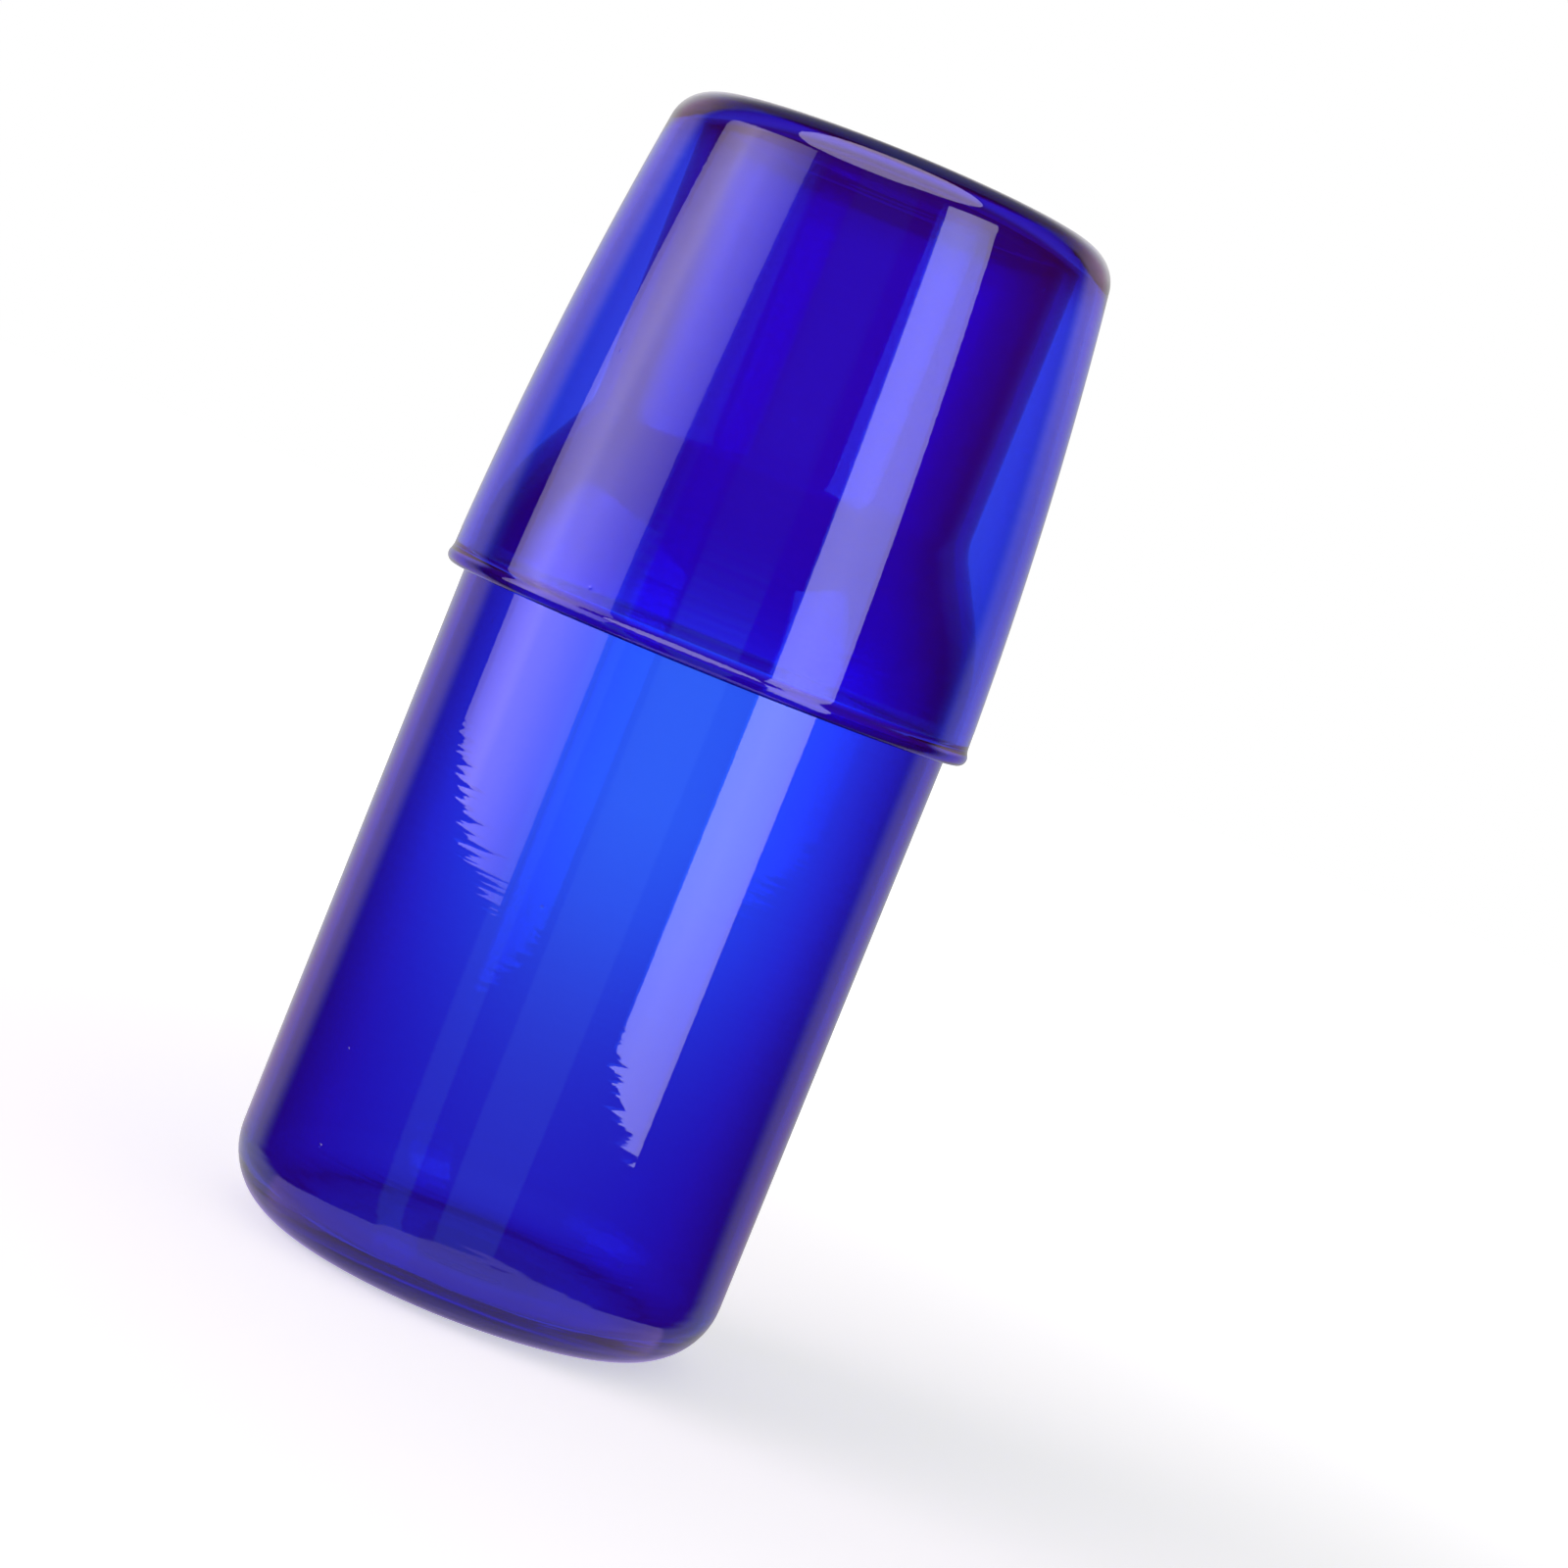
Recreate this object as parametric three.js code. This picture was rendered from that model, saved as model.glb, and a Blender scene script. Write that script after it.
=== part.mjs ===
// Bedside carafe of blue glass, with its drinking tumbler upside down over the neck.
// Millimetres, +Z up. The origin lies on the table, under the middle of the carafe's foot.
import * as THREE from 'three';
import { mergeVertices } from 'three/addons/utils/BufferGeometryUtils.js';

// Carafe
const bodyDiameter = 76;
const neckDiameter = 59.2;
const bodyHeight = 105.5; // straight side, from the table to where the shoulder starts
const neckHeight = 42.9; // straight neck, from the top of the shoulder to the mouth
const carafeWall = 2;
const carafeFloor = 4.2; // where the floor meets its inside corner
const carafeDish = 1.2; // how far the floor sinks to its middle
const carafeCorner = 11; // outside radius between the side and the foot
const carafeInsideCorner = 5.5;
const carafeRing = 5; // width of the flat ring that the carafe stands on
const carafeHollow = 0.4; // how far the foot rises inside that ring
const pontilDiameter = 15; // dimple in the middle of the foot, where the pontil was broken off
const pontilDepth = 0.9;
const shoulderRound = 30; // outside radius between the side and the shoulder's slope
const shoulderSlope = THREE.MathUtils.degToRad(28.8); // between the slope and the axis
const neckRound = 8; // outside radius between the slope and the neck
const lipSwell = 0.25; // how far the melted lip stands proud of each face of the neck

// Tumbler
const tumblerWall = 1.8;
const tumblerFloor = 2.7;
const tumblerCorner = 6; // outside radius between the wall and the foot
const tumblerRing = 4; // width of the flat ring that the tumbler stands on
const tumblerPunt = 1; // how far the middle of the foot is pushed in
const tumblerBow = 0.9; // how far the wall bows out from a straight taper
const rimSwell = 0.4; // how far the melted rim stands proud of each face of the wall

// Fits between the two
const seatGap = 0.3; // between the carafe's lip and the tumbler's floor
const rimClearance = 0.5; // between the tumbler's rim and the carafe's side
const rimOverlap = 6.6; // how far the rim hangs below the start of the shoulder

// Melted rims run into their walls on this radius
const rimBlend = 3;

// Steps round the axis and along each curve of a profile
const turnSteps = 64;
const cornerSteps = 5;
const shoulderSteps = 5;
const neckSteps = 3;
const puntSteps = 4;
const wallSteps = 5;
const beadSteps = 6;
const blendSteps = 2;

// Profile points closer than this are one point
const weld = 1e-4;

// Worked out from the sizes above
const bodyRadius = bodyDiameter / 2;
const neckRadius = neckDiameter / 2;
const shoulderDrop = bodyRadius - neckRadius;
const roundsTogether = shoulderRound + neckRound;
const slope = Math.min(shoulderSlope, Math.acos(1 - shoulderDrop / roundsTogether));
const slopeLength = (shoulderDrop - roundsTogether * (1 - Math.cos(slope))) / Math.sin(slope);
const shoulderHeight = roundsTogether * Math.sin(slope) + slopeLength * Math.cos(slope);
const neckStart = bodyHeight + shoulderHeight;
const mouthLevel = neckStart + neckHeight;
const lipMiddle = neckRadius - carafeWall / 2;
const tumblerInside = mouthLevel + seatGap;
const tumblerTop = tumblerInside + tumblerFloor;
const rimLevel = bodyHeight - rimOverlap;

// Profile points are (distance from the axis, height).
function point(radius, height) {
  return new THREE.Vector2(radius, height);
}

function arc(centre, radius, from, to, steps) {
  const curve = new THREE.EllipseCurve(centre.x, centre.y, radius, radius, from, to, to < from);
  return curve.getPoints(steps);
}

// A raised or sunk middle, from the axis out to its edge: level at both ends.
function punt(edge, level, rise) {
  const points = [];
  for (let step = 0; step <= puntSteps; step += 1) {
    const share = step / puntSteps;
    points.push(point(edge * share, level + rise * (1 + Math.cos(Math.PI * share)) / 2));
  }
  return points;
}

// How far the blend into a melted rim starts from the middle of the bead.
function blendReach(wall, swell) {
  return Math.sqrt((wall / 2 + swell + rimBlend) ** 2 - (wall / 2 + rimBlend) ** 2);
}

// A melted rim: a bead a little thicker than its wall, blended into both faces.
// It runs from the outside to the inside of a mouth that looks up (facing 1),
// and from the inside to the outside of one that looks down (facing -1).
function meltedRim(middle, wall, swell, facing) {
  const bead = wall / 2 + swell;
  const side = wall / 2 + rimBlend;
  const reach = blendReach(wall, swell);
  const turn = Math.atan2(reach, side);
  const points = [
    ...arc(point(side, -reach), rimBlend, Math.PI, Math.PI - turn, blendSteps),
    ...arc(point(0, 0), bead, 0, Math.PI, beadSteps),
    ...arc(point(-side, -reach), rimBlend, turn, 0, blendSteps),
  ];
  return points.map((spot) => spot.multiplyScalar(facing).add(middle));
}

// The arc from one point up to another that bows away from the axis.
function bowedArc(from, to, bow) {
  const chord = to.clone().sub(from);
  const radius = (chord.lengthSq() / 4 + bow ** 2) / (2 * bow);
  const outward = point(chord.y, -chord.x).normalize();
  const middle = from.clone().add(to).divideScalar(2);
  return { centre: middle.addScaledVector(outward, bow - radius), radius };
}

function levelAngle(spine, height) {
  return Math.asin((height - spine.centre.y) / spine.radius);
}

function spinePoint(spine, angle) {
  return point(Math.cos(angle), Math.sin(angle)).multiplyScalar(spine.radius).add(spine.centre);
}

// Turns a profile once round the axis. It starts and ends on the axis, with the glass on its left.
function turned(profile) {
  const apart = profile.filter((spot, index) => index === 0 || spot.distanceTo(profile[index - 1]) > weld);
  const shape = new THREE.LatheGeometry(apart, turnSteps);
  shape.deleteAttribute('normal');
  shape.deleteAttribute('uv');
  shape.rotateX(Math.PI / 2);
  const solid = mergeVertices(shape, weld);
  const corners = solid.index.array;
  const kept = [];
  for (let first = 0; first < corners.length; first += 3) {
    const [a, b, c] = corners.slice(first, first + 3);
    if (a !== b && b !== c && c !== a) kept.push(a, b, c);
  }
  solid.setIndex(kept);
  solid.computeVertexNormals();
  return solid;
}

// Carafe: round foot with a pontil mark, straight side, sloping shoulder, straight neck, melted lip
function carafeProfile() {
  const ringEdge = bodyRadius - carafeCorner - carafeRing;
  const footCentre = point(bodyRadius - carafeCorner, carafeCorner);
  const floorEdge = bodyRadius - carafeWall - carafeInsideCorner;
  const insideCentre = point(floorEdge, carafeFloor + carafeInsideCorner);
  const shoulderCentre = point(bodyRadius - shoulderRound, bodyHeight);
  const neckCentre = point(neckRadius + neckRound, neckStart);
  const lipCentre = point(lipMiddle, mouthLevel - carafeWall / 2 - lipSwell);
  return [
    ...punt(pontilDiameter / 2, carafeHollow, pontilDepth),
    point(ringEdge, 0),
    ...arc(footCentre, carafeCorner, -Math.PI / 2, 0, cornerSteps),
    ...arc(shoulderCentre, shoulderRound, 0, slope, shoulderSteps),
    ...arc(neckCentre, neckRound, Math.PI + slope, Math.PI, neckSteps),
    ...meltedRim(lipCentre, carafeWall, lipSwell, 1),
    ...arc(neckCentre, neckRound + carafeWall, Math.PI, Math.PI + slope, neckSteps),
    ...arc(shoulderCentre, shoulderRound - carafeWall, slope, 0, shoulderSteps),
    ...arc(insideCentre, carafeInsideCorner, 0, -Math.PI / 2, cornerSteps),
    ...punt(floorEdge, carafeFloor, -carafeDish).reverse(),
  ];
}

// Tumbler: the foot is uppermost, and its bowed wall widens down to a melted rim.
// Wall and corners are offsets of one spine, which runs through the middles of the corners.
function tumblerProfile() {
  const insideCorner = tumblerCorner - tumblerWall;
  const bead = tumblerWall / 2 + rimSwell;
  const rimCentre = point(bodyRadius + rimClearance + bead, rimLevel + bead);
  const wallEnd = rimCentre.y + blendReach(tumblerWall, rimSwell);
  const footCentre = point(lipMiddle, tumblerTop - tumblerCorner);
  const rimEnd = point(rimCentre.x + tumblerWall / 2 - tumblerCorner, wallEnd);
  const spine = bowedArc(rimEnd, footCentre, tumblerBow);
  const rimAngle = levelAngle(spine, wallEnd);
  const footAngle = levelAngle(spine, footCentre.y);
  const insideAngle = levelAngle(spine, tumblerInside - insideCorner);
  const insideCentre = spinePoint(spine, insideAngle);
  const insideWall = spine.radius + insideCorner;
  const outsideWall = spine.radius + tumblerCorner;
  const ringEdge = footCentre.x - tumblerRing;
  return [
    ...punt(ringEdge, tumblerInside, -tumblerPunt),
    ...arc(insideCentre, insideCorner, Math.PI / 2, insideAngle, cornerSteps),
    ...arc(spine.centre, insideWall, insideAngle, rimAngle, wallSteps),
    ...meltedRim(rimCentre, tumblerWall, rimSwell, -1),
    ...arc(spine.centre, outsideWall, rimAngle, footAngle, wallSteps),
    ...arc(footCentre, tumblerCorner, footAngle, Math.PI / 2, cornerSteps),
    ...punt(ringEdge, tumblerTop, -tumblerPunt).reverse(),
  ];
}

function glassPiece(name, profile, glass) {
  const mesh = new THREE.Mesh(turned(profile), glass);
  mesh.name = name;
  return mesh;
}

const carafeGlass = new THREE.MeshStandardMaterial({
  color: 0x2540e6,
  roughness: 0.05,
  metalness: 0,
  transparent: true,
  opacity: 0.6,
});
const tumblerGlass = new THREE.MeshStandardMaterial({
  color: 0x2a35dc,
  roughness: 0.05,
  metalness: 0,
  transparent: true,
  opacity: 0.6,
});

const carafeSet = new THREE.Group();
carafeSet.add(glassPiece('carafe', carafeProfile(), carafeGlass));
carafeSet.add(glassPiece('tumbler', tumblerProfile(), tumblerGlass));

export default carafeSet;
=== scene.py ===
import math

import bpy
from mathutils import Matrix, Vector


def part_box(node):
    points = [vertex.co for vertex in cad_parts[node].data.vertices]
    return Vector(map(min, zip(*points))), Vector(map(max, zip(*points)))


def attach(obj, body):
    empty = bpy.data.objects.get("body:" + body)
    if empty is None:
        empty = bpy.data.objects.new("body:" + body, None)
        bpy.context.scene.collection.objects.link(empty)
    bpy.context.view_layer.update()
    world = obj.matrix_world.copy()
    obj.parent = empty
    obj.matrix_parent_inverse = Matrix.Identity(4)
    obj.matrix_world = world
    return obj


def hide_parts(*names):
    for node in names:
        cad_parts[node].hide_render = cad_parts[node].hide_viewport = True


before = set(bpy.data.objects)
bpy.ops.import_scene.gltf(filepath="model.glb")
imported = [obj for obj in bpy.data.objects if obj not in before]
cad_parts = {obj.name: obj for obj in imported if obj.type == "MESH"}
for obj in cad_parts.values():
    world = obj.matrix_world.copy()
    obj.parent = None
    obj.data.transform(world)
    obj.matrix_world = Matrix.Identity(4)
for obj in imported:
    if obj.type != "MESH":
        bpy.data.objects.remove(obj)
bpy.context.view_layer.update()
scene = bpy.context.scene
mm = 0.001
quarter = math.pi / 2
print("frame loaded:", ", ".join(sorted(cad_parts)))


# Drawing a half section: a pen in the XZ plane leaves a chain of edges behind it

def penDown(name, radius, height):
    bpy.ops.object.select_all(action="DESELECT")
    bpy.ops.mesh.primitive_plane_add(size=mm, location=(radius, 0, height))
    piece = bpy.context.object
    piece.name = name
    piece.data.name = name
    bpy.ops.object.transform_apply(location=True, rotation=True, scale=True)
    bpy.ops.object.mode_set(mode="EDIT")
    bpy.ops.mesh.select_all(action="SELECT")
    bpy.ops.mesh.merge(type="CENTER")
    return piece, Vector((radius, height))


def drawLine(pen, radius, height, steps=1):
    stride = (Vector((radius, height)) - pen) / steps
    for _ in range(steps):
        bpy.ops.mesh.extrude_region_move(TRANSFORM_OT_translate={"value": (stride.x, 0, stride.y)})
    return Vector((radius, height))


# a positive turn goes anticlockwise, seen with the radius to the right
def drawArc(pen, centre, turn, steps):
    bpy.ops.mesh.spin(steps=steps, angle=turn, center=(centre.x, 0, centre.y), axis=(0, 1, 0))
    return centre + Matrix.Rotation(turn, 2) @ (pen - centre)


def turnRound(steps):  # the half section goes once round the axis, and its seam and poles are closed
    bpy.ops.mesh.select_all(action="SELECT")
    bpy.ops.mesh.spin(steps=steps, angle=2 * math.pi, center=(0, 0, 0), axis=(0, 0, 1))
    bpy.ops.mesh.select_all(action="SELECT")
    bpy.ops.mesh.remove_doubles(threshold=0.001 * mm)
    bpy.ops.mesh.normals_make_consistent(inside=False)
    bpy.ops.object.mode_set(mode="OBJECT")
    bpy.ops.object.shade_smooth()


# a foot's pushed-up middle, level at the axis and at the ring
def drawPunt(pen, paintedEdgeShade, level, rise, steps, outward):
    for step in range(1, steps + 1):
        share = step / steps if outward else 1 - step / steps
        pen = drawLine(pen, paintedEdgeShade * share, level + rise * (1 + math.cos(math.pi * share)) / 2)
    return pen


def blendReach(wall, swell, blend):  # from the middle of a melted bead to where its wall starts to swell
    return math.sqrt((wall / 2 + swell + blend) ** 2 - (wall / 2 + blend) ** 2)


def drawMeltedRim(pen, middle, wall, swell, blend, facing, steps):  # facing 1 looks up, -1 looks down
    reach = blendReach(wall, swell, blend)
    turn = math.atan2(reach, wall / 2 + blend)
    side = Vector((wall / 2 + blend, -reach)) * facing
    pen = drawLine(pen, middle.x + wall / 2 * facing, middle.y - reach * facing)
    pen = drawArc(pen, middle + side, -turn, steps // 4)
    pen = drawArc(pen, middle, math.pi + 2 * turn, steps)
    return drawArc(pen, middle + Vector((-side.x, side.y)), -turn, steps // 4)


# Carafe

carafeSizes = {
    "wall": 2 * mm,
    "floor": 4.2 * mm,
    "corner": 11 * mm,
    "insideCorner": 5.5 * mm,
    "ring": 5 * mm,
    "hollow": 0.4 * mm,
    "pontilRadius": 7.5 * mm,
    "pontilDepth": 0.9 * mm,
    "dish": 1.2 * mm,
    "neckRadius": 29.6 * mm,
    "sideTop": 105.5 * mm,
    "shoulderRound": 30 * mm,
    "shoulderSlope": math.radians(28.8),
    "neckRound": 8 * mm,
    "lipSwell": 0.25 * mm,
    "lipBlend": 3 * mm,
    "stepsRound": 160,
}


def modelCarafe():
    low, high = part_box("carafe")
    sizes = carafeSizes
    wall = sizes["wall"]
    bodyRadius = (high.x - low.x) / 2
    slope = sizes["shoulderSlope"]
    rounds = sizes["shoulderRound"] + sizes["neckRound"]
    drop = bodyRadius - sizes["neckRadius"]
    slopeLength = (drop - rounds * (1 - math.cos(slope))) / math.sin(slope)
    neckStart = sizes["sideTop"] + rounds * math.sin(slope) + slopeLength * math.cos(slope)
    ringEdge = bodyRadius - sizes["corner"] - sizes["ring"]
    insideCorner = sizes["insideCorner"]
    footMiddle = Vector((bodyRadius - sizes["corner"], sizes["corner"]))
    insideMiddle = Vector((bodyRadius - wall - insideCorner, sizes["floor"] + insideCorner))
    shoulderMiddle = Vector((bodyRadius - sizes["shoulderRound"], sizes["sideTop"]))
    neckMiddle = Vector((sizes["neckRadius"] + sizes["neckRound"], neckStart))
    lipMiddle = Vector((sizes["neckRadius"] - wall / 2, high.z - wall / 2 - sizes["lipSwell"]))

    piece, pen = penDown("carafe_glass", 0, sizes["hollow"] + sizes["pontilDepth"])
    pen = drawPunt(pen, sizes["pontilRadius"], sizes["hollow"], sizes["pontilDepth"], 14, True)
    pen = drawLine(pen, ringEdge, 0, 6)
    pen = drawLine(pen, footMiddle.x, 0, 3)
    pen = drawArc(pen, footMiddle, quarter, 16)
    pen = drawLine(pen, bodyRadius, sizes["sideTop"], 36)
    pen = drawArc(pen, shoulderMiddle, slope, 12)
    slopeEnd = neckMiddle - sizes["neckRound"] * Vector((math.cos(slope), math.sin(slope)))
    pen = drawLine(pen, slopeEnd.x, slopeEnd.y, 4)
    pen = drawArc(pen, neckMiddle, -slope, 8)
    reach = blendReach(wall, sizes["lipSwell"], sizes["lipBlend"])
    pen = drawLine(pen, pen.x, lipMiddle.y - reach - 1 * mm, 16)
    pen = drawMeltedRim(pen, lipMiddle, wall, sizes["lipSwell"], sizes["lipBlend"], 1, 20)
    pen = drawLine(pen, pen.x, neckStart, 16)
    pen = drawArc(pen, neckMiddle, slope, 8)
    slopeEnd = shoulderMiddle + (sizes["shoulderRound"] - wall) * Vector((math.cos(slope), math.sin(slope)))
    pen = drawLine(pen, slopeEnd.x, slopeEnd.y, 4)
    pen = drawArc(pen, shoulderMiddle, -slope, 12)
    pen = drawLine(pen, pen.x, insideMiddle.y, 36)
    pen = drawArc(pen, insideMiddle, -quarter, 16)
    drawPunt(pen, pen.x, sizes["floor"], -sizes["dish"], 24, False)
    turnRound(sizes["stepsRound"])
    return piece


# Tumbler

tumblerSizes = {
    "wall": 1.8 * mm,
    "floor": 2.7 * mm,
    "corner": 6 * mm,
    "ring": 4 * mm,
    "punt": 1 * mm,
    "bow": 0.9 * mm,
    "footRadius": 28.6 * mm,  # to the middle of the corner
    "rimSwell": 0.4 * mm,
    "rimBlend": 3 * mm,
    "stepsRound": 160,
}


def modelTumbler():
    low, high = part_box("tumbler")
    sizes = tumblerSizes
    wall = sizes["wall"]
    corner = sizes["corner"]
    insideCorner = corner - wall
    inside = high.z - sizes["floor"]
    bead = wall / 2 + sizes["rimSwell"]
    rimMiddle = Vector(((high.x - low.x) / 2 - bead, low.z + bead))
    wallEnd = rimMiddle.y + blendReach(wall, sizes["rimSwell"], sizes["rimBlend"])
    footMiddle = Vector((sizes["footRadius"], high.z - corner))
    ringEdge = footMiddle.x - sizes["ring"]

    # the bowed wall and both corners are offsets of one long arc through the middles of the corners
    rimPoint = Vector((rimMiddle.x + wall / 2 - corner, wallEnd))
    chord = footMiddle - rimPoint
    bowRadius = (chord.length_squared / 4 + sizes["bow"] ** 2) / (2 * sizes["bow"])
    outward = Vector((chord.y, -chord.x)).normalized()
    bowMiddle = (rimPoint + footMiddle) / 2 + outward * (sizes["bow"] - bowRadius)
    rimAngle = math.asin((wallEnd - bowMiddle.y) / bowRadius)
    footAngle = math.asin((footMiddle.y - bowMiddle.y) / bowRadius)
    insideAngle = math.asin((inside - insideCorner - bowMiddle.y) / bowRadius)
    insideMiddle = bowMiddle + bowRadius * Vector((math.cos(insideAngle), math.sin(insideAngle)))

    piece, pen = penDown("tumbler_glass", 0, inside - sizes["punt"])
    pen = drawPunt(pen, ringEdge, inside, -sizes["punt"], 14, True)
    pen = drawLine(pen, insideMiddle.x, inside, 4)
    pen = drawArc(pen, insideMiddle, insideAngle - quarter, 14)
    pen = drawArc(pen, bowMiddle, rimAngle - insideAngle, 30)
    pen = drawMeltedRim(pen, rimMiddle, wall, sizes["rimSwell"], sizes["rimBlend"], -1, 24)
    pen = drawArc(pen, bowMiddle, footAngle - rimAngle, 30)
    pen = drawArc(pen, footMiddle, quarter - footAngle, 14)
    pen = drawLine(pen, ringEdge, high.z, 3)
    drawPunt(pen, ringEdge, high.z, -sizes["punt"], 14, False)
    turnRound(sizes["stepsRound"])
    return piece


# Wiring nodes

def wire(tree, source, socket):  # a socket is linked, a plain value is set
    if isinstance(source, bpy.types.NodeSocket):
        tree.links.new(source, socket)
    else:
        socket.default_value = source


def addMath(tree, operation, first, second=0.0):
    node = tree.nodes.new("ShaderNodeMath")
    node.operation = operation
    wire(tree, first, node.inputs[0])
    wire(tree, second, node.inputs[1])
    return node.outputs[0]


def addRange(tree, value, fromMin, fromMax, toMin, toMax):
    node = tree.nodes.new("ShaderNodeMapRange")
    node.interpolation_type = "SMOOTHSTEP"
    for source, name in ((value, "Value"), (fromMin, "From Min"), (fromMax, "From Max"),
                         (toMin, "To Min"), (toMax, "To Max")):
        wire(tree, source, node.inputs[name])
    return node.outputs["Result"]


def addMix(tree, factor, first, second, kind="MIX"):
    node = tree.nodes.new("ShaderNodeMix")
    node.data_type = "RGBA"
    node.blend_type = kind
    wire(tree, factor, node.inputs[0])
    wire(tree, first, node.inputs[6])
    wire(tree, second, node.inputs[7])
    return node.outputs[2]


def addVector(tree, operation, first, second=(0, 0, 0)):
    node = tree.nodes.new("ShaderNodeVectorMath")
    node.operation = operation
    wire(tree, first, node.inputs[0])
    wire(tree, second, node.inputs["Scale" if operation == "SCALE" else 1])
    return node.outputs["Value"] if operation == "LENGTH" else node.outputs["Vector"]


def addRamp(tree, factor, stops):
    node = tree.nodes.new("ShaderNodeValToRGB")
    wire(tree, factor, node.inputs["Fac"])
    points = node.color_ramp.elements
    while len(points) < len(stops):
        points.new(1.0)
    for point, (place, color) in zip(points, stops):
        point.position = place
        point.color = (*color, 1)
    return node.outputs["Color"]


def addNoise(tree, coords, stretch, detail, roughness=0.5):
    scaled = tree.nodes.new("ShaderNodeVectorMath")
    scaled.operation = "MULTIPLY"
    wire(tree, coords, scaled.inputs[0])
    scaled.inputs[1].default_value = stretch
    noise = tree.nodes.new("ShaderNodeTexNoise")
    wire(tree, scaled.outputs[0], noise.inputs["Vector"])
    noise.inputs["Scale"].default_value = 1
    noise.inputs["Detail"].default_value = detail
    noise.inputs["Roughness"].default_value = roughness
    return noise.outputs["Fac"]


# Blue glass

carafeGlass = {
    "mainTint": (0.55, 0.64, 0.99, 1),
    "footTint": (0.45, 0.35, 0.86, 1),
    "neckTint": (0.45, 0.13, 0.78, 1),
    "footLevel": 0.0,
    "footReach": 85 * mm,
    "neckStart": 97 * mm,
    "neckFull": 114 * mm,
    "scarRadius": 7 * mm,
    "lipLevel": 172.2 * mm,
    "foldHeight": 22,
    "edgeShade": ((0.0, (1, 1, 1)), (0.15, (0.75, 0.65, 0.94)), (0.3, (0.5, 0.42, 0.83)),
                 (0.5, (0.3, 0.18, 0.54)), (0.8, (0.12, 0.05, 0.17))),
    "absorption": (0.0, 0.58, 0.985, 1),
    "density": 800,
    "ior": 1.48,
}
tumblerGlass = {
    "mainTint": (0.58, 0.62, 0.97, 1),
    "footTint": (0.42, 0.16, 0.56, 1),
    "neckTint": (0.58, 0.62, 0.97, 1),
    "footLevel": 176.4 * mm,
    "footReach": 13 * mm,
    "neckStart": 300 * mm,  # no neck and no scar on this piece
    "neckFull": 400 * mm,
    "scarRadius": -5 * mm,
    "lipLevel": 100.2 * mm,
    "foldHeight": 4,
    "edgeShade": ((0.0, (1, 1, 1)), (0.5, (0.85, 0.8, 0.93)), (0.8, (0.36, 0.3, 0.5))),
    "absorption": (0.0, 0.52, 0.985, 1),
    "density": 800,
    "ior": 1.48,
}
glassMarks = {
    "ripple": (24, 24, 700),  # waves per metre: long round the glass, short up it
    "cord": (95, 95, 3),
    "smear": (38, 38, 26),
    "cordShare": 0.7,
    "cloud": (16, 16, 16),
    "cloudShare": 0.3,
    "scratch": (900, 900, 900),
    "seedScale": 120,
    "seedSize": (0.015, 0.045),  # from a bubble's middle to its edge, in cells
    "seedChance": 0.66,
    "seedTint": (0.9, 0.94, 1, 1),
    "seedBulge": 3,
    "polish": 0.012,
    "smearRough": 0.05,
    "scuffRough": 0.3,
    "scuffReach": (0.2 * mm, 1.2 * mm),
    "rippleHeight": 1.7e-5,
    "fold": (30, 30, 260),
    "foldReach": 17 * mm,
    "scarShade": (0.1, 0.05, 0.18, 1),
    "scarRough": 0.2,
    "scarEdge": 1 * mm,
    "scarDepth": (1.6 * mm, 2.4 * mm),
    "lipTint": (0.5, 0.35, 0.62, 1),
    "lipReach": (0.7 * mm, 1.7 * mm),
}
# each glass's own values, and the inputs of the shared marks that take them
markInputs = (
    ("Main Tint", "NodeSocketColor", "mainTint"),
    ("Foot Tint", "NodeSocketColor", "footTint"),
    ("Neck Tint", "NodeSocketColor", "neckTint"),
    ("Foot Level", "NodeSocketFloat", "footLevel"),
    ("Foot Reach", "NodeSocketFloat", "footReach"),
    ("Neck Start", "NodeSocketFloat", "neckStart"),
    ("Neck Full", "NodeSocketFloat", "neckFull"),
    ("Scar Radius", "NodeSocketFloat", "scarRadius"),
    ("Lip Level", "NodeSocketFloat", "lipLevel"),
    ("Fold Height", "NodeSocketFloat", "foldHeight"),
)


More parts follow.
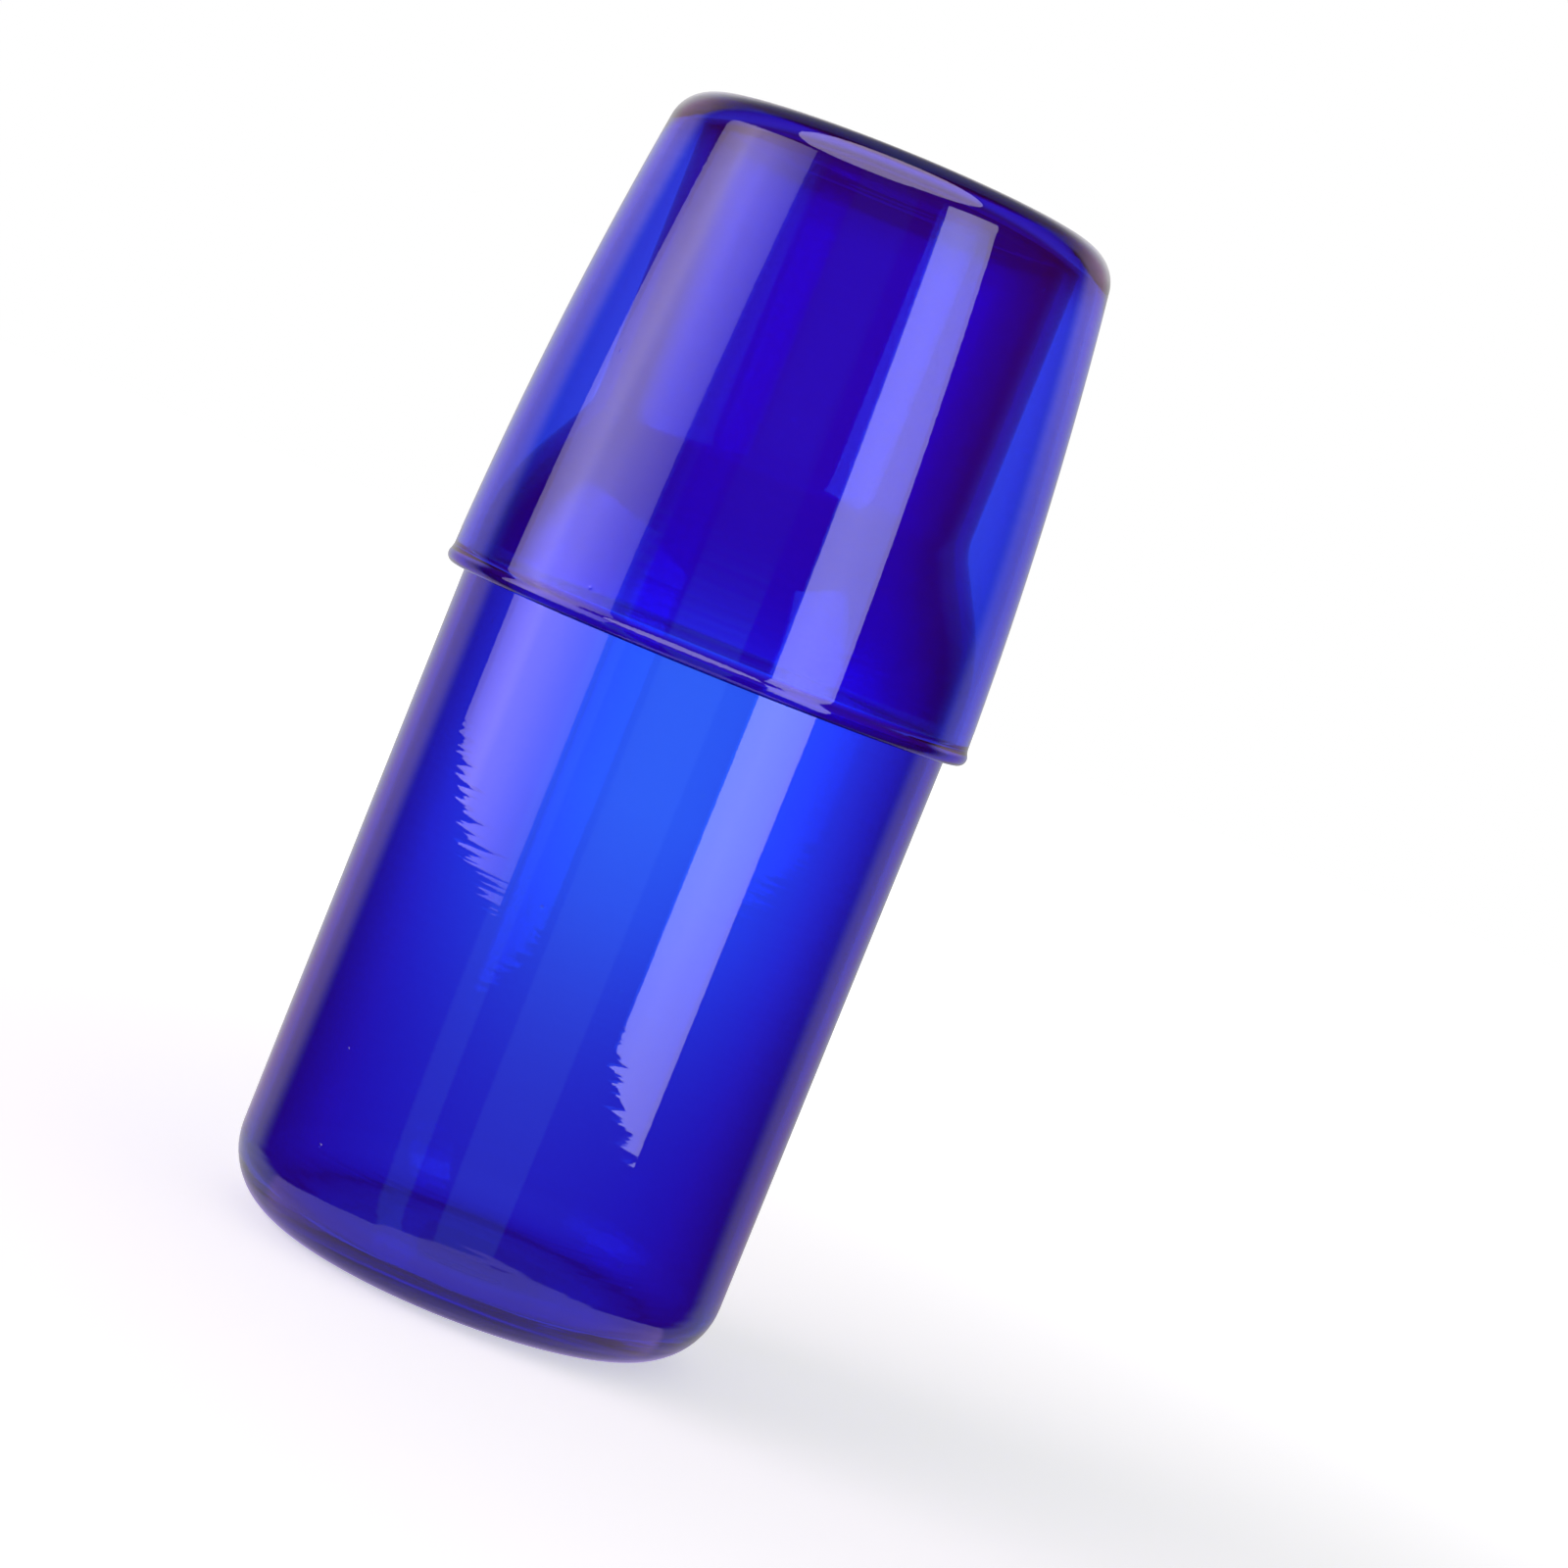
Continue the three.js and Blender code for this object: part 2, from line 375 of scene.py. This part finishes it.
def blownGlassMarks():
    look = glassMarks
    group = bpy.data.node_groups.new("blown glass marks", "ShaderNodeTree")
    for name, kind, _ in markInputs:
        group.interface.new_socket(name, in_out="INPUT", socket_type=kind)
    for name, kind in (("Tint", "NodeSocketColor"), ("Roughness", "NodeSocketFloat"),
                       ("Height", "NodeSocketFloat")):
        group.interface.new_socket(name, in_out="OUTPUT", socket_type=kind)
    given = group.nodes.new("NodeGroupInput").outputs
    result = group.nodes.new("NodeGroupOutput").inputs
    coords = group.nodes.new("ShaderNodeTexCoord").outputs["Object"]
    split = group.nodes.new("ShaderNodeSeparateXYZ")
    wire(group, coords, split.inputs[0])
    height = split.outputs["Z"]
    fromFoot = addMath(group, "ABSOLUTE", addMath(group, "SUBTRACT", height, given["Foot Level"]))
    fromLip = addMath(group, "ABSOLUTE", addMath(group, "SUBTRACT", height, given["Lip Level"]))

    # the glass is deeper in colour towards its foot and neck, and never quite even
    nearFoot = addRange(group, fromFoot, 0.0, given["Foot Reach"], 1.0, 0.0)
    neck = addRange(group, height, given["Neck Start"], given["Neck Full"], 0.0, 1.0)
    cloud = addMath(group, "SUBTRACT", addNoise(group, coords, look["cloud"], 2), 0.5)
    uneven = addMath(group, "ADD", nearFoot, addMath(group, "MULTIPLY", cloud, look["cloudShare"]))
    uneven = addRange(group, uneven, 0.0, 1.0, 0.0, 1.0)
    tint = addMix(group, uneven, given["Main Tint"], given["Foot Tint"])
    tint = addMix(group, neck, tint, given["Neck Tint"])

    # the melted lip is thicker still
    lip = addRange(group, fromLip, *look["lipReach"], 1.0, 0.0)
    tint = addMix(group, lip, tint, addMix(group, 1.0, tint, look["lipTint"], "MULTIPLY"))

    # small bubbles, in one cell out of three
    cells = group.nodes.new("ShaderNodeTexVoronoi")
    wire(group, coords, cells.inputs["Vector"])
    cells.inputs["Scale"].default_value = look["seedScale"]
    chance = group.nodes.new("ShaderNodeSeparateColor")
    wire(group, cells.outputs["Color"], chance.inputs[0])
    seed = addRange(group, cells.outputs["Distance"], *look["seedSize"], 1.0, 0.0)
    chosen = addMath(group, "GREATER_THAN", chance.outputs[0], look["seedChance"])
    bubble = addMath(group, "MULTIPLY", seed, chosen)
    tint = addMix(group, bubble, tint, look["seedTint"])

    # the scar where the pontil was broken off: its roughness is the scar's own, its dark tint is painted
    # shade
    fromAxis = addVector(group, "LENGTH", addVector(group, "MULTIPLY", coords, (1, 1, 0)))
    scarInside = addMath(group, "SUBTRACT", given["Scar Radius"], look["scarEdge"])
    scarOutside = addMath(group, "ADD", given["Scar Radius"], look["scarEdge"])
    scarAndShade = addMath(group, "MULTIPLY", addRange(group, fromFoot, *look["scarDepth"], 1.0, 0.0),
                   addRange(group, fromAxis, scarInside, scarOutside, 1.0, 0.0))
    wire(group, addMix(group, scarAndShade, tint, look["scarShade"]), result["Tint"])

    # rings from the blowing, cords down the wall, folds in the thick foot, and the bubbles' bulge
    ripple = addNoise(group, coords, look["ripple"], 1.5)
    cord = addMath(group, "MULTIPLY", addNoise(group, coords, look["cord"], 1), look["cordShare"])
    reach = look["foldReach"]
    foldHeight = addRange(group, fromFoot, 0.3 * reach, reach, given["Fold Height"], 0.0)
    fold = addMath(group, "MULTIPLY", addNoise(group, coords, look["fold"], 2), foldHeight)
    bulge = addMath(group, "ADD", addMath(group, "ADD", ripple, cord), fold)
    bubbleBulge = addMath(group, "MULTIPLY", bubble, look["seedBulge"])
    wire(group, addMath(group, "ADD", bulge, bubbleBulge), result["Height"])

    # wiped smears, and scuffs on the ring that the glass stands on
    wiped = addNoise(group, coords, look["smear"], 5, 0.6)
    smear = addRange(group, wiped, 0.56, 0.75, 0.0, look["smearRough"])
    scratch = addNoise(group, coords, look["scratch"], 3)
    worn = addRange(group, fromFoot, *look["scuffReach"], look["scuffRough"], 0.0)
    scuff = addMath(group, "MULTIPLY", worn, scratch)
    rough = addMath(group, "ADD", addMath(group, "ADD", smear, scuff), look["polish"])
    scarRough = addMath(group, "MULTIPLY", scarAndShade, look["scarRough"])
    wire(group, addMath(group, "ADD", rough, scarRough), result["Roughness"])
    return group


def blueGlass(name, look, group):
    material = bpy.data.materials.new(name)
    material.use_nodes = True
    tree = material.node_tree
    glass = tree.nodes["Principled BSDF"]
    marks = tree.nodes.new("ShaderNodeGroup")
    marks.node_tree = group
    for name, _, value in markInputs:
        marks.inputs[name].default_value = look[value]
    # painted shade: the glass colour darkens where its surface turns edge-on to the view
    slant = tree.nodes.new("ShaderNodeLayerWeight")
    slant.inputs["Blend"].default_value = 0.5
    paintedEdgeShade = addRamp(tree, slant.outputs["Facing"], look["edgeShade"])
    wire(tree, addMix(tree, 1.0, marks.outputs["Tint"], paintedEdgeShade, "MULTIPLY"), glass.inputs["Base Color"])
    wire(tree, marks.outputs["Roughness"], glass.inputs["Roughness"])
    bump = tree.nodes.new("ShaderNodeBump")
    bump.inputs["Distance"].default_value = glassMarks["rippleHeight"]
    wire(tree, marks.outputs["Height"], bump.inputs["Height"])
    wire(tree, bump.outputs["Normal"], glass.inputs["Normal"])
    glass.inputs["IOR"].default_value = look["ior"]
    glass.inputs["Transmission Weight"].default_value = 1
    soak = tree.nodes.new("ShaderNodeVolumeAbsorption")
    soak.inputs["Color"].default_value = look["absorption"]
    soak.inputs["Density"].default_value = look["density"]
    wire(tree, soak.outputs["Volume"], tree.nodes["Material Output"].inputs["Volume"])
    return material


# Stage, light and camera

floorSizes = {
    "width": 8.0,
    "color": (0.86, 0.86, 0.87, 1),
    "seenNear": 0.55,
    "seenFar": 0.95,
    # the colour of the floor seen through glass, by metres from the middle: a painted blue shadow of the
    # glass, with a painted dark spot under the foot's hollow and a brighter painted ring round it
    "throughShade": ((0.006, (0.10, 0.08, 0.20)), (0.011, (0.42, 0.46, 0.90)), (0.02, (0.42, 0.46, 0.88)),
                     (0.035, (0.38, 0.40, 0.74)), (0.2, (0.45, 0.50, 0.76)),
                     (0.6, (0.8, 0.82, 0.94)), (1.0, (1, 1, 1))),
    "patch": (18.5, 10, 0),  # one over the half widths of the lit patch before the foot
    "patchBack": -15 * mm,
    "patchGlow": (1.2, 0.8, 1.35, 1),
    "mirrorFrom": (0, -30 * mm, 15 * mm),  # the front of the foot, where the mirrored room is seen from
    "contact": 31 * mm,
    "contactReach": 45 * mm,
    "contactShade": (0.52, 0.42, 0.78, 1),
}
roomLight = {
    "fill": (0.32, 0.32, 0.32, 1),
    "through": (0.95, 0.95, 0.95, 1),
    # from straight in front, at 0, round to straight behind, at 1
    "walls": ((0.0, (0.42, 0.02, 0.25)), (0.5, (0.36, 0.02, 0.2)),
              (0.72, (0.18, 0.01, 0.1)), (0.8, (0, 0, 0))),
    "wallsLow": 0.9,
    "wallsHigh": 1.5,
    "cardColor": (0.7, 0.8, 1.5, 1),
    "cardGlow": 0.4,
    "cards": ((-0.33, 0.19), (-0.77, -0.60)),  # the sine of each pale card's sides, seen from the object
    "cardSoft": 0.012,
    "sheetColor": (1, 0.66, 0.95, 1),
    "sheetFoot": (0.95, 0.9, 1, 1),
    "sheetEdge": (1, 0.97, 1, 1),
    "sheetStart": 0.44,
    "sheetSoft": 0.18,
    "sheetLeft": 0.68,
    "sheetRight": 0.45,
    "sheetHigh": 1.0,
    "sheetTop": 0.35,
}


# what the glass mirrors: a pale sheet behind, dark walls in front, and a pale card or two
def mirroredRoom():
    group = bpy.data.node_groups.new("mirrored room", "ShaderNodeTree")
    group.interface.new_socket("Direction", in_out="INPUT", socket_type="NodeSocketVector")
    group.interface.new_socket("Color", in_out="OUTPUT", socket_type="NodeSocketColor")
    given = group.nodes.new("NodeGroupInput").outputs
    result = group.nodes.new("NodeGroupOutput").inputs
    split = group.nodes.new("ShaderNodeSeparateXYZ")
    wire(group, addVector(group, "NORMALIZE", given["Direction"]), split.inputs[0])
    across, ahead, up = split.outputs
    level = addMath(group, "SQRT", addMath(group, "SUBTRACT", 1.0, addMath(group, "MULTIPLY", up, up)))
    turn = addMath(group, "DIVIDE", ahead, level)
    side = addMath(group, "DIVIDE", across, level)
    halfTurn = addMath(group, "MULTIPLY", addMath(group, "ADD", turn, 1.0), 0.5)
    room = addRamp(group, halfTurn, roomLight["walls"])
    lift = addRange(group, up, 0.0, 0.22, roomLight["wallsLow"], roomLight["wallsHigh"])
    room = addVector(group, "SCALE", room, lift)
    shown = addMath(group, "MULTIPLY", addRange(group, turn, -0.1, -0.3, 0.0, roomLight["cardGlow"]),
                    addRange(group, up, 0.0, 0.12, 1.0, 0.12))
    soft = roomLight["cardSoft"]
    for cardLeft, cardRight in roomLight["cards"]:
        card = addMath(group, "MULTIPLY", addRange(group, side, cardLeft - soft, cardLeft + soft, 0.0, shown),
                       addRange(group, side, cardRight - soft, cardRight + soft, 1.0, 0.0))
        room = addMix(group, card, room, roomLight["cardColor"])
    sheetStart = addRange(group, up, -0.1, -0.4, roomLight["sheetStart"], 0.0)
    sheetFull = addMath(group, "ADD", sheetStart, roomLight["sheetSoft"])
    sheet = addRange(group, turn, sheetStart, sheetFull, 0.0, 1.0)
    low = addRange(group, side, -0.5, 0.5, roomLight["sheetLeft"], roomLight["sheetRight"])
    glow = addRange(group, up, 0.06, 0.25, low, roomLight["sheetHigh"])
    glow = addRange(group, up, 0.35, 0.7, glow, roomLight["sheetTop"])
    below = addRange(group, up, -0.05, -0.2, 0.0, 1.0)
    cloth = addMix(group, below, roomLight["sheetColor"], roomLight["sheetFoot"])
    cloth = addMix(group, addRange(group, turn, 0.8, 0.97, 0.0, 1.0), cloth, roomLight["sheetEdge"])
    wire(group, addMix(group, addMath(group, "MULTIPLY", sheet, glow), room, cloth), result["Color"])
    return group


def addMirror(tree, direction, room):
    node = tree.nodes.new("ShaderNodeGroup")
    node.node_tree = room
    wire(tree, direction, node.inputs["Direction"])
    return node.outputs["Color"]


def layFloor(room):
    bpy.ops.object.select_all(action="DESELECT")
    bpy.ops.mesh.primitive_plane_add(size=floorSizes["width"], location=(0, 0, 0))
    floor = bpy.context.object
    floor.name = "floor"
    material = bpy.data.materials.new("pale floor")
    material.use_nodes = True
    tree = material.node_tree
    tree.nodes.clear()
    rays = tree.nodes.new("ShaderNodeLightPath").outputs
    coords = tree.nodes.new("ShaderNodeTexCoord").outputs["Object"]
    distance = addVector(tree, "LENGTH", coords)

    # what the camera sees: lit paint that glows to white further off
    paint = tree.nodes.new("ShaderNodeBsdfDiffuse")
    paint.inputs["Color"].default_value = floorSizes["color"]
    glow = tree.nodes.new("ShaderNodeEmission")
    seen = addRange(tree, distance, 0.05, 0.5, floorSizes["seenNear"], floorSizes["seenFar"])
    wire(tree, addMath(tree, "MULTIPLY", seen, rays["Is Camera Ray"]), glow.inputs["Strength"])
    lit = tree.nodes.new("ShaderNodeAddShader")
    wire(tree, paint.outputs[0], lit.inputs[0])
    wire(tree, glow.outputs[0], lit.inputs[1])

    # what the glass shows: the room, a painted lit patch under the foot darkened by a painted contact shadow
    # close in, and the glass's blue shadow painted on the floor, seen looking through
    patch = addVector(tree, "LENGTH", addVector(tree, "MULTIPLY", coords, floorSizes["patch"]))
    place = tree.nodes.new("ShaderNodeSeparateXYZ")
    wire(tree, coords, place.inputs[0])
    back = floorSizes["patchBack"]
    inFront = addRange(tree, place.outputs["Y"], back - 2 * mm, back + 2 * mm, 1.0, 0.0)
    patch = addMath(tree, "MULTIPLY", addRange(tree, patch, 0.97, 1.03, 1.0, 0.0), inFront)
    seenFrom = addVector(tree, "SUBTRACT", coords, floorSizes["mirrorFrom"])
    mirrored = addMix(tree, patch, addMirror(tree, seenFrom, room), floorSizes["patchGlow"])
    # painted contact shadow near the foot, in the floor as the glass mirrors it
    contact = addRange(tree, distance, floorSizes["contact"], floorSizes["contactReach"], 1.0, 0.0)
    mirrored = addMix(tree, contact, mirrored, floorSizes["contactShade"])
    through = addRamp(tree, distance, floorSizes["throughShade"])
    shown = tree.nodes.new("ShaderNodeEmission")
    wire(tree, addMix(tree, rays["Is Transmission Ray"], mirrored, through), shown.inputs["Color"])
    choice = tree.nodes.new("ShaderNodeMixShader")
    seenInGlass = addMath(tree, "MAXIMUM", rays["Is Glossy Ray"], rays["Is Transmission Ray"])
    wire(tree, seenInGlass, choice.inputs[0])
    wire(tree, lit.outputs[0], choice.inputs[1])
    wire(tree, shown.outputs[0], choice.inputs[2])
    out = tree.nodes.new("ShaderNodeOutputMaterial")
    wire(tree, choice.outputs[0], out.inputs["Surface"])
    floor.data.materials.append(material)


def lightRoom(room):
    world = bpy.data.worlds.new("studio")
    scene.world = world
    world.use_nodes = True
    tree = world.node_tree
    background = tree.nodes["Background"]
    rays = tree.nodes.new("ShaderNodeLightPath").outputs
    direction = tree.nodes.new("ShaderNodeTexCoord").outputs["Generated"]
    mirrored = addMirror(tree, direction, room)
    split = tree.nodes.new("ShaderNodeSeparateXYZ")
    wire(tree, direction, split.inputs[0])
    behind = addRange(tree, split.outputs["Y"], 0.4, 0.7, 0.0, 1.0)
    color = addMix(tree, rays["Is Glossy Ray"], roomLight["fill"], mirrored)
    seenThrough = addMix(tree, behind, mirrored, roomLight["through"])
    color = addMix(tree, rays["Is Transmission Ray"], color, seenThrough)
    color = addMix(tree, rays["Is Camera Ray"], color, (1, 1, 1, 1))
    wire(tree, color, background.inputs["Color"])
    background.inputs["Strength"].default_value = 1


softboxes = {
    "left softbox": {
        "shape": "RECTANGLE",
        "place": (-0.4654, -0.1611, 0.21),
        "aim": (-0.0279, -0.0191, 0.21),
        "size": (0.511, 0.42),
        "radiance": 5.0,
        "color": (1, 0.82, 1),
        "profile": ((0.0, 0.28), (0.18, 0.52), (0.35, 0.74), (0.43, 0.6), (0.57, 0.55), (0.72, 0.42),
                    (0.85, 0.33), (0.95, 0.26), (1.0, 0.2)),
        # where the lit cloth starts and ends, as shares of the height, at its two sides
        "lowEdge": (0.1, 0.0),
        "highEdge": (1.0, 1.0),
    },
    "right softbox": {
        "shape": "RECTANGLE",
        "place": (0.139, -0.2135, 0.150),
        "aim": (0, -0.2135, 0.150),
        "size": (0.183, 0.294),
        "radiance": 3.6,
        "color": (1, 0.9, 1),
        "profile": ((0.0, 0.9), (0.5, 1.0), (1.0, 0.85)),
        "lowEdge": (0.015, 0.015),
        "highEdge": (1.0, 0.8),
    },
    "top softbox": {
        "shape": "ELLIPSE",
        "place": (-0.11, -0.325, 0.70),
        "aim": (-0.11, 0.0098, 0.2046),
        "size": (0.98, 0.77),
        "radiance": 3.4,
        "color": (1, 0.85, 1),
        "profile": ((0.0, 1.0), (1.0, 1.0)),
        "lowEdge": (0.0, 0.0),
        "highEdge": (1.0, 1.0),
    },
}


def hangSoftbox(name, box):
    light = bpy.data.lights.new(name, "AREA")
    light.shape = box["shape"]
    light.size, light.size_y = box["size"]
    light.color = box["color"]
    area = light.size * light.size_y * (math.pi / 4 if box["shape"] == "ELLIPSE" else 1)
    light.energy = box["radiance"] * area / 0.25
    light.use_nodes = True
    tree = light.node_tree
    cloth = tree.nodes.new("ShaderNodeSeparateXYZ")
    wire(tree, tree.nodes.new("ShaderNodeNewGeometry").outputs["Parametric"], cloth.inputs[0])
    across, up, _ = cloth.outputs
    stops = [(place, (level, level, level)) for place, level in box["profile"]]
    edges = []
    for left, right in (box["lowEdge"], box["highEdge"]):
        edges.append(addMath(tree, "ADD", addMath(tree, "MULTIPLY", across, right - left), left))
    lit = addMath(tree, "MULTIPLY", addMath(tree, "GREATER_THAN", up, edges[0]),
                  addMath(tree, "LESS_THAN", up, edges[1]))
    wire(tree, addRamp(tree, across, stops), tree.nodes["Emission"].inputs["Color"])
    wire(tree, lit, tree.nodes["Emission"].inputs["Strength"])
    lamp = bpy.data.objects.new(name, light)
    scene.collection.objects.link(lamp)
    place = Vector(box["place"])
    turn = (Vector(box["aim"]) - place).to_track_quat("-Z", "Y").to_matrix().to_4x4()
    lamp.matrix_world = Matrix.Translation(place) @ turn
    lamp.visible_camera = False
    lamp.visible_diffuse = name == "left softbox"
    lamp.visible_transmission = name != "top softbox"
    return lamp


viewpoint = {
    "place": (-0.0124, -0.5817, 0.1191),
    "aim": (0.0175, 0, 0.0867),
    "lean": math.radians(22.1),
    "lens": 90.6,
    "sensor": 36,
}


def aimCamera():
    place = Vector(viewpoint["place"])
    aim = Vector(viewpoint["aim"])
    lean = viewpoint["lean"]
    ahead = (aim - place).normalized()
    right = ahead.cross(Vector((0, 0, 1))).normalized()
    up = right.cross(ahead)
    turnedRight = right * math.cos(lean) + up * math.sin(lean)
    turnedUp = up * math.cos(lean) - right * math.sin(lean)
    data = bpy.data.cameras.new("camera")
    data.lens = viewpoint["lens"]
    data.sensor_width = viewpoint["sensor"]
    camera = bpy.data.objects.new("camera", data)
    scene.collection.objects.link(camera)
    rows = Matrix((turnedRight, turnedUp, -ahead)).transposed()
    camera.matrix_world = Matrix.Translation(place) @ rows.to_4x4()
    scene.camera = camera


marksGroup = blownGlassMarks()

carafe = modelCarafe()
carafe.data.materials.append(blueGlass("carafe glass", carafeGlass, marksGroup))
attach(carafe, "carafe")
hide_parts("carafe")
print("carafe modelled:", len(carafe.data.polygons), "faces")

tumbler = modelTumbler()
tumbler.data.materials.append(blueGlass("tumbler glass", tumblerGlass, marksGroup))
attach(tumbler, "tumbler")
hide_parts("tumbler")
print("tumbler modelled:", len(tumbler.data.polygons), "faces")

roomGroup = mirroredRoom()
layFloor(roomGroup)
lightRoom(roomGroup)
for boxName, softbox in softboxes.items():
    hangSoftbox(boxName, softbox)
aimCamera()
scene.view_settings.view_transform = "Standard"
scene.cycles.max_bounces = 24
scene.cycles.transmission_bounces = 24
scene.cycles.glossy_bounces = 12
print("stage set")
